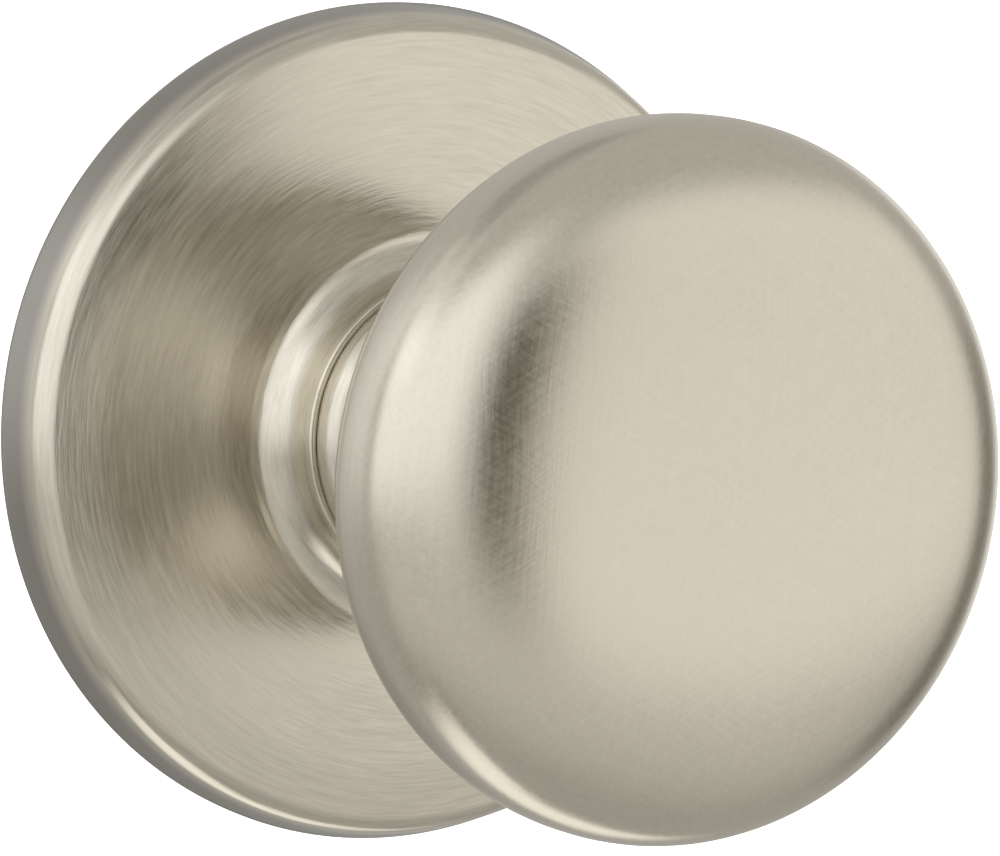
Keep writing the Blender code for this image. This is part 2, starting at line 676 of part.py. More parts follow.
def make_spindle():
    spindle = d_bar("spindle", SPINDLE_RADIUS, SPINDLE_FLAT, -SPINDLE_BEHIND_DOOR, PLUG_FRONT, PARTS)
    reach = SPINDLE_RADIUS + OVERCUT
    hole = rod("spindle_pin_hole", PIN_RADIUS + GAP, (0, -reach, PIN_HEIGHT), (0, reach, PIN_HEIGHT))
    boolean(spindle, hole)
    return finish(spindle, ZINC_STEEL, TURNING)


def make_spindle_plug():
    """A cast plug in the shank's rear end, with a D-shaped hole for the spindle."""
    foot = PLUG_FRONT - PLUG_LENGTH
    plug = rod("spindle_plug", PLUG_RADIUS, (0, 0, foot), (0, 0, PLUG_FRONT), COARSE, PARTS)
    hole = d_bar("plug_hole", SPINDLE_RADIUS + GAP, SPINDLE_FLAT + GAP, foot - OVERCUT, PLUG_FRONT + OVERCUT)
    boolean(plug, hole)
    reach = PLUG_RADIUS + OVERCUT
    boolean(plug, rod("plug_pin_hole", PIN_RADIUS + GAP, (0, -reach, PIN_HEIGHT), (0, reach, PIN_HEIGHT)))
    return finish(plug, DIE_CAST, TURNING)


def make_spindle_pin():
    reach = SHANK_RADIUS - GAP
    pin = rod("spindle_pin", PIN_RADIUS, (0, -reach, PIN_HEIGHT), (0, reach, PIN_HEIGHT), SMALL, PARTS)
    return finish(pin, SPRING_STEEL, TURNING)


def make_thrust_washer():
    outer = BUSH_BORE + WASHER_WIDTH
    profile = ring_profile(BUSH_BORE, outer, THRUST_TOP - WASHER_THICK, THRUST_TOP)
    return finish(turned("thrust_washer", profile, COARSE, closed=True), ZINC_STEEL, TURNING)


def make_wave_washer():
    """A thin spring washer that rises and falls as it goes round."""
    outer = BUSH_BORE + WASHER_WIDTH
    profile = ring_profile(
        BUSH_BORE, outer, WAVE_MIDDLE - WAVE_THICK / 2, WAVE_MIDDLE + WAVE_THICK / 2
    )
    shape = bmesh.new()
    loops = []
    for index in range(COARSE):
        angle = 2 * math.pi * index / COARSE
        lift = WAVE_HEIGHT * math.cos(WAVE_COUNT * angle)
        loops.append([shape.verts.new(at_angle(radius, angle, height + lift)) for radius, height in profile])
    for index, loop in enumerate(loops):
        following = loops[(index + 1) % COARSE]
        for corner in range(4):
            other = (corner + 1) % 4
            shape.faces.new((loop[corner], following[corner], following[other], loop[other]))
    bmesh.ops.recalc_face_normals(shape, faces=shape.faces)
    return finish(mesh_object("wave_washer", shape), SPRING_STEEL, TURNING)


def make_retaining_ring():
    """An open spring clip in the shank's groove."""
    inner = SHANK_RADIUS - GROOVE_DEPTH + GAP
    outer = SHANK_RADIUS + CLIP_WIDTH
    ring = turned("retaining_ring", ring_profile(inner, outer, CLIP_FOOT, CLIP_TOP), COARSE, closed=True)
    mouth = block(
        "clip_mouth", (2 * outer, 2 * inner * math.sin(CLIP_MOUTH / 2), CLIP_THICK + 2 * OVERCUT),
        (outer, 0, (CLIP_TOP + CLIP_FOOT) / 2), -math.pi / 2,
    )
    boolean(ring, mouth)
    return finish(ring, SPRING_STEEL, TURNING)


# --- Catch ------------------------------------------------------------------

def catch_reach():
    """Distances from the axis, downwards: end of the nose, top of the nose's head."""
    nose = NECK_RADIUS - GAP
    head = SHANK_INSIDE * math.cos(math.asin((CATCH_WIDTH / 2 + CATCH_HEAD) / SHANK_INSIDE)) - GAP
    return nose, head


def make_knob_catch():
    """A plunger with a wide head inside the shank and a nose through the shank and the neck."""
    nose, head = catch_reach()
    catch = block(
        "knob_catch", (nose - head + CATCH_LAP, CATCH_WIDTH, CATCH_DEPTH),
        ((nose + head - CATCH_LAP) / 2, 0, CATCH_HEIGHT), -math.pi / 2, PARTS,
    )
    flange = block(
        "catch_head", (CATCH_HEAD_THICK, CATCH_WIDTH + 2 * CATCH_HEAD, CATCH_DEPTH + 2 * CATCH_HEAD),
        (head - CATCH_HEAD_THICK / 2, 0, CATCH_HEIGHT), -math.pi / 2,
    )
    boolean(catch, flange, "UNION")
    return finish(catch, ZINC_STEEL, TURNING)


def make_catch_spring():
    """A small coil between the catch's head and the far wall of the shank."""
    _, head = catch_reach()
    start = -(head - CATCH_HEAD_THICK - GAP - CATCH_SPRING_WIRE)
    end = SHANK_INSIDE - 2 * GAP - CATCH_SPRING_WIRE
    count = CATCH_SPRING_STEPS * CATCH_SPRING_TURNS
    points = []
    for index in range(count + 1):
        angle = 2 * math.pi * CATCH_SPRING_TURNS * index / count
        points.append((
            CATCH_SPRING_RADIUS * math.cos(angle),
            start + (end - start) * index / count,
            CATCH_HEIGHT + CATCH_SPRING_RADIUS * math.sin(angle),
        ))
    return wire("catch_spring", points, CATCH_SPRING_WIRE, SPRING_STEEL, TURNING)


def main():
    make_rose()
    make_mounting_plate()
    for side, place in post_places().items():
        make_post(side, place)
    make_spring_cage()
    for index, angle in enumerate(rivet_angles()):
        make_cage_rivet(index, angle)
    make_front_bush()
    make_rear_bush()
    make_return_spring()
    make_driver()
    make_knob_front_shell()
    make_knob_back_shell()
    make_knob_hub()
    make_shank()
    make_spindle()
    make_spindle_plug()
    make_spindle_pin()
    make_thrust_washer()
    make_wave_washer()
    make_retaining_ring()
    make_knob_catch()
    make_catch_spring()


main()
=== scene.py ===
# %% [markdown]
# # A round door knob on its rose
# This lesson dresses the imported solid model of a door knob. The model is loaded as a frame that
# never moves, and the thin brushed shells that the eye judges are turned again here, finely.
# All lengths are in metres. The knob's axis is the Y axis: it points out of the door towards -Y.

# %% Load the frame
import json
import math

import bmesh
import bpy
from mathutils import Matrix, Vector


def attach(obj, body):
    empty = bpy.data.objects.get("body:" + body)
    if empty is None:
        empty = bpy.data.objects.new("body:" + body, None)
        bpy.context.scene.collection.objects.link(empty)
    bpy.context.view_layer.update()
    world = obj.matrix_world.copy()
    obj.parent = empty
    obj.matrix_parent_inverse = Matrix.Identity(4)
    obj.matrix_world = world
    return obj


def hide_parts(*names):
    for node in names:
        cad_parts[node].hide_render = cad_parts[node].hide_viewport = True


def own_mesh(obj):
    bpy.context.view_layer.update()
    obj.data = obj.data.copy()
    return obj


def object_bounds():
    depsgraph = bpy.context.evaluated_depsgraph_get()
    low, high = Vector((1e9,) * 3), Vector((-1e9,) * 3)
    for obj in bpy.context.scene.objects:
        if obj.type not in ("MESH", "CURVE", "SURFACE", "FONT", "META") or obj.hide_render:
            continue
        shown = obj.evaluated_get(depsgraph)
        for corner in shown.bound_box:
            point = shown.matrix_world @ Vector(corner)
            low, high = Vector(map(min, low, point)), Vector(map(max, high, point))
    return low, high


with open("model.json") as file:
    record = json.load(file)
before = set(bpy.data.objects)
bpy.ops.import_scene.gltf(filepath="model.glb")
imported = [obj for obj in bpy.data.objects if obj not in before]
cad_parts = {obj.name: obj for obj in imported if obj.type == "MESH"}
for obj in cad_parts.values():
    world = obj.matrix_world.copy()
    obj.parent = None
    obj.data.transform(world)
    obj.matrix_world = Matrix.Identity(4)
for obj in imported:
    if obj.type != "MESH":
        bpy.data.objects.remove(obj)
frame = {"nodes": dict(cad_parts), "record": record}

MM = 0.001
scene = bpy.context.scene
cad_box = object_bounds()


def linked(name, data):
    """A new object in the scene that shows the mesh, the curve or the camera."""
    obj = bpy.data.objects.new(name, data)
    scene.collection.objects.link(obj)
    return obj


print("CAD box in mm:", [round(v / MM, 2) for corner in cad_box for v in corner])

# %% [markdown]
# ## The camera
# A long lens from the left and a little above the knob, which keeps the near knob from looking too
# large against the rose behind it. The direction is given as turns about the object, as a
# photographer would say it, and the camera looks along it with no tilt.

# %% Camera
AZIMUTH = math.radians(-27.75)
ELEVATION = math.radians(6.04)
AIM = Vector((0.00867, -0.00201, -0.00068))
DISTANCE = 0.3721
LENS, SENSOR = 167.2, 36.0
NEAREST = 0.01
back = Vector((
    math.sin(AZIMUTH) * math.cos(ELEVATION),
    -math.cos(AZIMUTH) * math.cos(ELEVATION),
    math.sin(ELEVATION),
))
camera_data = bpy.data.cameras.new("studio_camera")
camera_data.lens = LENS
camera_data.sensor_width = SENSOR
camera_data.clip_start = NEAREST
camera = linked("studio_camera", camera_data)
camera.location = AIM + back * DISTANCE
camera.rotation_mode = "QUATERNION"
camera.rotation_quaternion = (-back).to_track_quat("-Z", "Y")
scene.camera = camera
print("camera at", [round(v, 4) for v in camera.location])

# %% [markdown]
# ## The studio
# A product studio is a white room with a few large soft lamps. The floor is a plain pale sheet, and
# the room's own glow fills the shadows. Satin metal shows its lamps as wide soft bands, so the
# lamps are big panels with a darker gap between them.

# %% Floor and room
scene.view_settings.view_transform = "Standard"
FLOOR_DROP = 0.12
FLOOR_HALF = 30.0


def pale_floor():
    material = bpy.data.materials.new("pale_floor")
    material.use_nodes = True
    shader = material.node_tree.nodes["Principled BSDF"]
    shader.inputs["Base Color"].default_value = (0.9, 0.9, 0.9, 1)
    shader.inputs["Roughness"].default_value = 0.9
    shader.inputs["Emission Color"].default_value = (1, 1, 1, 1)
    shader.inputs["Emission Strength"].default_value = 1.0
    return material


shape = bmesh.new()
bmesh.ops.create_grid(shape, x_segments=1, y_segments=1, size=FLOOR_HALF)
floor_mesh = bpy.data.meshes.new("floor")
shape.to_mesh(floor_mesh)
shape.free()
floor = linked("floor", floor_mesh)
floor.location.z = cad_box[0].z - FLOOR_DROP
floor.data.materials.append(pale_floor())
floor.visible_glossy = False

world = bpy.data.worlds.new("studio")
scene.world = world
world.use_nodes = True
world.node_tree.nodes.clear()

# %% [markdown]
# ## Node helpers
# The lamps and the finishes are both drawn with shader nodes. Each effect is a node group with named
# sockets, made once and placed wherever it shows. These helpers add one node each, and every value
# they take may be a number or another node's output, which keeps the effects below short to read.

# %% Node helpers


def feed(tree, socket, value):
    """Links an output to the socket, or sets the socket to a number, a colour or a vector."""
    if isinstance(value, bpy.types.NodeSocket):
        tree.links.new(value, socket)
    else:
        socket.default_value = value


def new_group(name, inputs, outputs):
    tree = bpy.data.node_groups.new(name, "ShaderNodeTree")
    for label, value in inputs.items():
        socket = tree.interface.new_socket(label, in_out="INPUT", socket_type="NodeSocketFloat")
        socket.default_value = value
    for label in outputs:
        tree.interface.new_socket(label, in_out="OUTPUT", socket_type="NodeSocketFloat")
    return tree, tree.nodes.new("NodeGroupInput"), tree.nodes.new("NodeGroupOutput")


def math_node(tree, operation, *values):
    node = tree.nodes.new("ShaderNodeMath")
    node.operation = operation
    for socket, value in zip(node.inputs, values):
        feed(tree, socket, value)
    return node.outputs[0]


def combine(tree, x, y, z):
    node = tree.nodes.new("ShaderNodeCombineXYZ")
    for socket, value in zip(node.inputs, (x, y, z)):
        feed(tree, socket, value)
    return node.outputs[0]


def spread(tree, value, from_low, from_high, low=0.0, high=1.0, smooth=False):
    """Stretches the value from one range to another, with soft ends where smooth is set."""
    node = tree.nodes.new("ShaderNodeMapRange")
    if smooth:
        node.interpolation_type = "SMOOTHSTEP"
    labels = ("Value", "From Min", "From Max", "To Min", "To Max")
    for label, number in zip(labels, (value, from_low, from_high, low, high)):
        feed(tree, node.inputs[label], number)
    return node.outputs["Result"]


def tinted(tree, factor, low, high):
    """A colour between low and high."""
    mix = tree.nodes.new("ShaderNodeMix")
    mix.data_type = "RGBA"
    for label, value in (("Factor", factor), ("A", low), ("B", high)):
        feed(tree, mix.inputs[label], value)
    return mix.outputs["Result"]


def noise(tree, vector, w=None, scale=1.0, detail=2.0, roughness=0.5):
    node = tree.nodes.new("ShaderNodeTexNoise")
    node.noise_dimensions = "3D" if w is None else "4D"
    if w is not None:
        tree.links.new(w, node.inputs["W"])
    labels = ("Vector", "Scale", "Detail", "Roughness")
    for label, value in zip(labels, (vector, scale, detail, roughness)):
        feed(tree, node.inputs[label], value)
    return node.outputs["Fac"]


def object_place(tree):
    """The X, Y and Z of the point on the piece, in metres."""
    coordinates = tree.nodes.new("ShaderNodeTexCoord")
    split = tree.nodes.new("ShaderNodeSeparateXYZ")
    tree.links.new(coordinates.outputs["Object"], split.inputs[0])
    return split.outputs


def axis_radius(tree, x, z):
    """How far the point is from the knob's axis, in metres."""
    square_x, square_z = math_node(tree, "MULTIPLY", x, x), math_node(tree, "MULTIPLY", z, z)
    return math_node(tree, "SQRT", math_node(tree, "ADD", square_x, square_z))


NODE_HELPERS = (feed, new_group, math_node, combine, spread, tinted, noise, object_place, axis_radius)
print("node helpers:", [helper.__name__ for helper in NODE_HELPERS])

# %% [markdown]
# ## The lamps
# A softbox far from a small object is only a patch of direction, so it is painted on the sky: a
# group turns the direction into degrees left of the knob's axis and degrees up, and answers how far
# inside the patch it lies, with a soft edge. The room between the patches stays dim.

# %% Group: softbox


LAMP_SOCKETS = ("Left", "Up", "Half Width", "Half Height", "Edge", "Glow")
HALF_TURN = 180.0


def make_softbox():
    tree, given, made = new_group("softbox", dict.fromkeys(LAMP_SOCKETS, 0.0), ["Light"])

    def calc(operation, *values):
        return math_node(tree, operation, *values)

    def inside(distance, half):
        """1 within the half width, and 0 further than the soft edge outside it."""
        edge = given.outputs["Edge"]
        depth = calc("SUBTRACT", half, calc("ABSOLUTE", distance))
        return spread(tree, depth, calc("MULTIPLY", edge, -1.0), edge, smooth=True)

    direction = tree.nodes.new("ShaderNodeTexCoord")
    split = tree.nodes.new("ShaderNodeSeparateXYZ")
    tree.links.new(direction.outputs["Generated"], split.inputs[0])
    x, y, z = split.outputs
    left = calc("DEGREES", calc("ARCTAN2", calc("MULTIPLY", x, -1.0), calc("MULTIPLY", y, -1.0)))
    up = calc("DEGREES", calc("ARCSINE", z))
    aside = calc("WRAP", calc("SUBTRACT", left, given.outputs["Left"]), HALF_TURN, -HALF_TURN)
    above = calc("SUBTRACT", up, given.outputs["Up"])
    across = inside(aside, given.outputs["Half Width"])
    high = inside(above, given.outputs["Half Height"])
    light = calc("MULTIPLY", calc("MULTIPLY", across, high), given.outputs["Glow"])
    tree.links.new(light, made.inputs["Light"])
    return tree


softbox = make_softbox()
print("group:", softbox.name)

# %% [markdown]
# ## Where the lamps stand
# Each row says where a lamp is, in degrees left of the knob's axis and degrees up, how far it
# reaches to each side, how soft its edge is and how bright it glows. A flag is a black card that
# photographers hold up to keep light off a place, so it glows with a number below zero.

# %% Lamps and flags
ROOM_LOW = (0.48, 0.47, 0.44, 1)
ROOM_HIGH = (0.58, 0.57, 0.54, 1)
COOL, WARM, GREY = (0.97, 1.00, 1.02), (1.00, 0.98, 0.92), (1.0, 1.0, 1.0)
LAMPS = {
    "left_front": (COOL, 52, 16, 48, 23, 12, 0.70),
    "left_high": (COOL, 95, 42, 38, 16, 12, 0.28),
    "left_back": (COOL, 135, 14, 22, 19, 14, 0.38),
    "right_front": (WARM, -46, 5, 33, 24, 8, 0.43),
    "right_back": (GREY, -124, 0, 12, 20, 6, 0.42),
    "floor_bounce": (WARM, 10, -27, 75, 14, 20, 0.22),
    "floor_behind": (WARM, 150, -72, 90, 14, 8, 0.80),
    "flag_front": (GREY, -7, 1, 7, 15, 6, -0.50),
    "flag_above": (GREY, 150, 70, 70, 12, 8, -0.14),
    "flag_right": (GREY, -90, -15, 12, 22, 8, -0.25),
    "flag_back": (GREY, 180, -20, 16, 16, 10, -0.16),
    "flag_low": (GREY, 80, -54, 35, 8, 10, -0.14),
}
ROOM_FADE = 0.6
tree = world.node_tree
nodes, links = tree.nodes, tree.links
sky = nodes.new("ShaderNodeTexCoord")
sky_split = nodes.new("ShaderNodeSeparateXYZ")
links.new(sky.outputs["Generated"], sky_split.inputs[0])
sky_height = spread(tree, sky_split.outputs["Z"], -ROOM_FADE, ROOM_FADE)
total = tinted(tree, sky_height, ROOM_LOW, ROOM_HIGH)
for name, (colour, *numbers) in LAMPS.items():
    lamp = nodes.new("ShaderNodeGroup")
    lamp.name = name
    lamp.node_tree = softbox
    for label, value in zip(LAMP_SOCKETS, numbers):
        lamp.inputs[label].default_value = value
    tint = nodes.new("ShaderNodeVectorMath")
    tint.operation = "MULTIPLY_ADD"
    for socket, value in zip(tint.inputs, (lamp.outputs["Light"], colour, total)):
        feed(tree, socket, value)
    total = tint.outputs[0]
print("lamps:", list(LAMPS))

# %% [markdown]
# ## A white backdrop
# The camera has to see plain white behind the object, while the metal reflects the room and its
# lamps. The sky therefore answers each camera ray with white and every other ray with the room.

# %% Backdrop
seen = nodes.new("ShaderNodeLightPath")
choose = nodes.new("ShaderNodeMixShader")
room = nodes.new("ShaderNodeBackground")
white = nodes.new("ShaderNodeBackground")
white.inputs["Color"].default_value = (1, 1, 1, 1)
output = nodes.new("ShaderNodeOutputWorld")
links.new(total, room.inputs["Color"])
links.new(seen.outputs["Is Camera Ray"], choose.inputs["Fac"])
links.new(room.outputs[0], choose.inputs[1])
links.new(white.outputs[0], choose.inputs[2])
links.new(choose.outputs[0], output.inputs["Surface"])
print("sky for the camera and for the metal:", white.name, room.name)

# %% [markdown]
# ## Effect: brushing left by a turning wheel
# A rose is brushed while it spins, so every hairline runs round the axis. A noise that changes fast
# along the radius and slowly round the circle draws such lines with no seam, because the angle goes
# in as its cosine and sine.

# %% Group: turned brushing
AXIS_GUARD = 1e-5


def make_turned_brushing():
    tree, given, made = new_group("turned_brushing", {"Lines": 5000.0, "Round": 14.0}, ["Line"])
    x, y, z = object_place(tree)
    radius = axis_radius(tree, x, z)
    safe = math_node(tree, "MAXIMUM", radius, AXIS_GUARD)
    across = math_node(tree, "MULTIPLY", radius, given.outputs["Lines"])
    cosine = math_node(tree, "MULTIPLY", math_node(tree, "DIVIDE", x, safe), given.outputs["Round"])
    sine = math_node(tree, "MULTIPLY", math_node(tree, "DIVIDE", z, safe), given.outputs["Round"])
    along = math_node(tree, "MULTIPLY", y, given.outputs["Lines"])
    line = noise(tree, combine(tree, across, cosine, sine), w=along, detail=3.0, roughness=0.65)
    tree.links.new(line, made.inputs["Line"])
    return tree


turned_brushing = make_turned_brushing()
print("group:", turned_brushing.name)

# %% [markdown]
# ## Effect: brushing by hand
# The knob's face is finished with a soft pad that wanders, so its hairlines run in many directions.
# Three sets of long thin noise, each turned another way, are added up, and a slow noise bends them.
# Straight lines in one direction would look like a machine's work.

# %% Group: hand brushing
PAD_TURNS = (0.5, 1.45, 2.6)
PAD_WANDER = 2.2
WANDER_SCALE = 60.0
WANDER_FIRST, WANDER_STEP = 0.0012, 0.0004


def make_hand_brushing():
    tree, given, made = new_group("hand_brushing", {"Lines": 4000.0, "Length": 260.0}, ["Line"])
    x, y, z = object_place(tree)
    sway = noise(tree, combine(tree, x, y, z), scale=WANDER_SCALE, detail=1.0)
    bend = math_node(tree, "MULTIPLY", math_node(tree, "SUBTRACT", sway, 0.5), PAD_WANDER)
    total = 0.0
    for index, turn in enumerate(PAD_TURNS):
        cosine, sine = math_node(tree, "COSINE", turn), math_node(tree, "SINE", turn)
        along = math_node(tree, "ADD", math_node(tree, "MULTIPLY", x, cosine),
                          math_node(tree, "MULTIPLY", z, sine))
        across = math_node(tree, "SUBTRACT", math_node(tree, "MULTIPLY", z, cosine),
                           math_node(tree, "MULTIPLY", x, sine))
        drift = math_node(tree, "MULTIPLY", bend, WANDER_FIRST + WANDER_STEP * index)
        across = math_node(tree, "ADD", across, drift)
        place = combine(tree, math_node(tree, "MULTIPLY", along, given.outputs["Length"]),
                        math_node(tree, "MULTIPLY", across, given.outputs["Lines"]),
                        math_node(tree, "MULTIPLY", y, given.outputs["Lines"]))
        total = math_node(tree, "ADD", total, noise(tree, place, detail=2.0, roughness=0.6))
    tree.links.new(math_node(tree, "DIVIDE", total, len(PAD_TURNS)), made.inputs["Line"])
    return tree


hand_brushing = make_hand_brushing()
print("group:", hand_brushing.name)

# %% [markdown]
# ## Effect: handling
# Hands leave faint cloudy patches that are a little smoother or duller than the rest. A slow noise
# with several layers of detail gives such patches, and each finish says how much they change it.

# %% Group: handling


def make_handling():
    tree, given, made = new_group("handling", {"Patches": 45.0}, ["Mark"])
    x, y, z = object_place(tree)
    place = combine(tree, x, y, z)
    mark = noise(tree, place, scale=given.outputs["Patches"], detail=4.0, roughness=0.55)
    tree.links.new(mark, made.inputs["Mark"])
    return tree


handling = make_handling()
print("group:", handling.name)

# %% [markdown]
# ## Effect: edge wear
# Plating on an edge is rubbed bright, where cloths and hands reach it first. Cycles knows how
# sharply the surface bends at a point, so that number is stretched to a mask. Painting the edges by
# hand would have to be done again after each change of shape.

# %% Group: edge wear


def make_edge_wear():
    tree, given, made = new_group("edge_wear", {"From": 0.52, "To": 0.62}, ["Wear"])
    bend = tree.nodes.new("ShaderNodeNewGeometry").outputs["Pointiness"]
    wear = spread(tree, bend, given.outputs["From"], given.outputs["To"])
    tree.links.new(wear, made.inputs["Wear"])
    return tree


edge_wear = make_edge_wear()
print("group:", edge_wear.name)

# %% [markdown]
# ## Effect: grain
# Cast zinc, plated steel and moulded nylon all have a fine grain, which differs only in size. One
# fast noise draws it, and each finish sets how many grains there are to a metre.

# %% Group: grain


def make_grain():
    tree, given, made = new_group("grain", {"Grains": 2500.0}, ["Grain"])
    x, y, z = object_place(tree)
    grain = noise(tree, combine(tree, x, y, z), scale=given.outputs["Grains"], detail=2.0)
    tree.links.new(grain, made.inputs["Grain"])
    return tree


grain_group = make_grain()
print("group:", grain_group.name)

# %% [markdown]
# ## Material helpers
# A finish is one Principled shader fed by the groups above. These helpers add a new material, place
# a group in it and turn a height into a tipped normal, so that each finish below reads as a recipe.

# %% Material helpers


def new_material(name):
    material = bpy.data.materials.new(name)
    material.use_nodes = True
    return material, material.node_tree, material.node_tree.nodes["Principled BSDF"]


def place_group(material, group, **values):
    node = material.node_tree.nodes.new("ShaderNodeGroup")
    node.node_tree = group
    for label, value in values.items():
        node.inputs[label].default_value = value
    return node


def bump(tree, height, depth, strength):
    node = tree.nodes.new("ShaderNodeBump")
    node.inputs["Strength"].default_value = strength
    node.inputs["Distance"].default_value = depth
    tree.links.new(height, node.inputs["Height"])
    tree.links.new(node.outputs["Normal"], tree.nodes["Principled BSDF"].inputs["Normal"])


print("helpers for finishes:", [helper.__name__ for helper in (new_material, place_group, bump)])

# %% [markdown]
# ## Finish: satin nickel
# Warm grey nickel plate over brushed brass. The hairlines change its roughness and tip its surface
# by a hair, which draws out the highlights, and its colour only a little. The metal stays a metal
# all over, and the rose's side wall gets a painted shade: its colour is a darker, duller grey.

# %% Satin nickel
NICKEL_DARK = (0.58, 0.545, 0.475, 1)
NICKEL_LIGHT = (0.74, 0.695, 0.605, 1)
# The colour of the painted shade on the rose's side wall, a dull dark grey.
NICKEL_PAINTED_SHADE = (0.36, 0.345, 0.32, 1)
LINE_SHARE = 0.8
LINE_DEPTH = 0.00002
QUARTER_TURN = 0.25
NOISE_LOW, NOISE_HIGH = 0.3, 0.7


def painted_shade_mask(tree, start, end):
    """Mask of the painted shade: 0 inside the start radius, 1 outside the end radius, in mm from the
    knob's axis.
    """
    x, _, z = object_place(tree)
    return spread(tree, axis_radius(tree, x, z), start * MM, end * MM, smooth=True)


def nickel_colour(tree, line, mark, contrast, side):
    """Dark and light plate mixed by the hairlines and the marks, with a painted shade on the side wall."""
    shade = spread(tree, line, 0.5 - 0.5 / contrast, 0.5 + 0.5 / contrast, 0.0, LINE_SHARE)
    tone = math_node(tree, "ADD", shade, math_node(tree, "MULTIPLY", mark, 1 - LINE_SHARE))
    colour = tinted(tree, tone, NICKEL_DARK, NICKEL_LIGHT)
    # Painted shade: the side wall's colour is mixed towards the dark grey between the two radii.
    if side:
        colour = tinted(tree, painted_shade_mask(tree, *side), colour, NICKEL_PAINTED_SHADE)
    return colour


def nickel_roughness(tree, line, mark, wear, roughness):
    base = spread(tree, line, NOISE_LOW, NOISE_HIGH, roughness - 0.04, roughness + 0.04)
    soft = spread(tree, mark, NOISE_LOW, NOISE_HIGH, -0.03, 0.03)
    rubbed = math_node(tree, "MULTIPLY", wear, 0.05)
    return math_node(tree, "SUBTRACT", math_node(tree, "ADD", base, soft), rubbed)


def satin_nickel(name, brushing, brush_values, contrast, roughness, stretch, bump_strength, side=None):
    material, tree, shader = new_material(name)
    line = place_group(material, brushing, **brush_values).outputs["Line"]
    mark = place_group(material, handling, Patches=45.0).outputs["Mark"]
    wear = place_group(material, edge_wear, From=0.53, To=0.60).outputs["Wear"]
    round_axis = tree.nodes.new("ShaderNodeTangent")
    round_axis.direction_type = "RADIAL"
    round_axis.axis = "Y"
    recipe = {
        "Base Color": nickel_colour(tree, line, mark, contrast, side),
        "Roughness": nickel_roughness(tree, line, mark, wear, roughness),
        "Metallic": 1.0,
        "Anisotropic": stretch,
        "Anisotropic Rotation": QUARTER_TURN,
        "Tangent": round_axis.outputs[0],
    }
    for label, value in recipe.items():
        feed(tree, shader.inputs[label], value)
    bump(tree, line, LINE_DEPTH, bump_strength)
    return material


TURNED = {"Lines": 3400.0, "Round": 7.0}
WANDERING = {"Lines": 3000.0, "Length": 220.0}
# Radii in mm over which the painted shade on the rose's side wall fades in.
ROSE_PAINTED_SHADE = (32.3, 32.9)
rose_nickel = satin_nickel("satin_nickel_rose", turned_brushing, TURNED, 2.4, 0.20, 0.10, 0.6, ROSE_PAINTED_SHADE)
neck_nickel = satin_nickel("satin_nickel_neck", turned_brushing, TURNED, 2.4, 0.24, 0.10, 0.6)
face_nickel = satin_nickel("satin_nickel_face", hand_brushing, WANDERING, 1.5, 0.21, 0.0, 0.5)
print("finishes:", rose_nickel.name, neck_nickel.name, face_nickel.name)

# %% [markdown]
# ## Finishes of the hidden mechanism
# Stamped steel is plated with bright zinc, springs and clips are dark blued steel, and the plug is a
# grey casting. One recipe makes all three from the same groups, because they differ only in colour,
# shine and grain. The bushes are pale moulded nylon, which isn't a metal and has its own recipe.

# %% Zinc plate, spring steel, casting, nylon
GRAIN_DEPTH = 0.00001


def plain_metal(name, dark, light, roughness, patches, grains):
    material, tree, shader = new_material(name)
    mark = place_group(material, handling, Patches=patches).outputs["Mark"]
    grain = place_group(material, grain_group, Grains=grains).outputs["Grain"]
    wear = place_group(material, edge_wear, From=0.53, To=0.62).outputs["Wear"]
    tone = math_node(tree, "ADD", math_node(tree, "MULTIPLY", mark, 0.7),
                     math_node(tree, "MULTIPLY", grain, 0.3))
    tone = math_node(tree, "ADD", tone, math_node(tree, "MULTIPLY", wear, 0.4))
    recipe = {
        "Base Color": tinted(tree, tone, (*dark, 1), (*light, 1)),
        "Roughness": spread(tree, mark, NOISE_LOW, NOISE_HIGH, roughness - 0.07, roughness + 0.07),
        "Metallic": 1.0,
    }
    for label, value in recipe.items():
        feed(tree, shader.inputs[label], value)
    bump(tree, grain, GRAIN_DEPTH, 0.4)
    return material


zinc_plate = plain_metal(
    "zinc_plated_steel", (0.50, 0.52, 0.55), (0.74, 0.75, 0.76), 0.34, 160.0, 5000.0)
spring_steel = plain_metal("spring_steel", (0.22, 0.22, 0.23), (0.44, 0.44, 0.45), 0.34, 120.0, 6000.0)
zinc_casting = plain_metal("zinc_casting", (0.42, 0.42, 0.43), (0.60, 0.60, 0.61), 0.5, 200.0, 2200.0)


def moulded_nylon():
    material, tree, shader = new_material("moulded_nylon")
    mark = place_group(material, handling, Patches=90.0).outputs["Mark"]
    grain = place_group(material, grain_group, Grains=3000.0).outputs["Grain"]
    colour = tinted(tree, mark, (0.80, 0.78, 0.71, 1), (0.90, 0.88, 0.82, 1))
    tree.links.new(colour, shader.inputs["Base Color"])
    tree.links.new(spread(tree, grain, NOISE_LOW, NOISE_HIGH, 0.4, 0.5), shader.inputs["Roughness"])
    bump(tree, grain, GRAIN_DEPTH, 0.3)
    return material


nylon = moulded_nylon()
BY_SLOT = {
    "satin_nickel": rose_nickel,
    "zinc_plated_steel": zinc_plate,
    "spring_steel": spring_steel,
    "zinc_casting": zinc_casting,
    "nylon": nylon,
}
print("finishes by slot:", {slot: m.name for slot, m in BY_SLOT.items()})

# %% [markdown]
# ## Turning a shell
# A spun shell is a profile swept round the axis. The profile is drawn on paper as radius and height
# out from the door, and a Screw modifier turns it.

# %% Profiles and turning
SHARP_ANGLE = math.radians(32)
WELD_DISTANCE = 1e-6


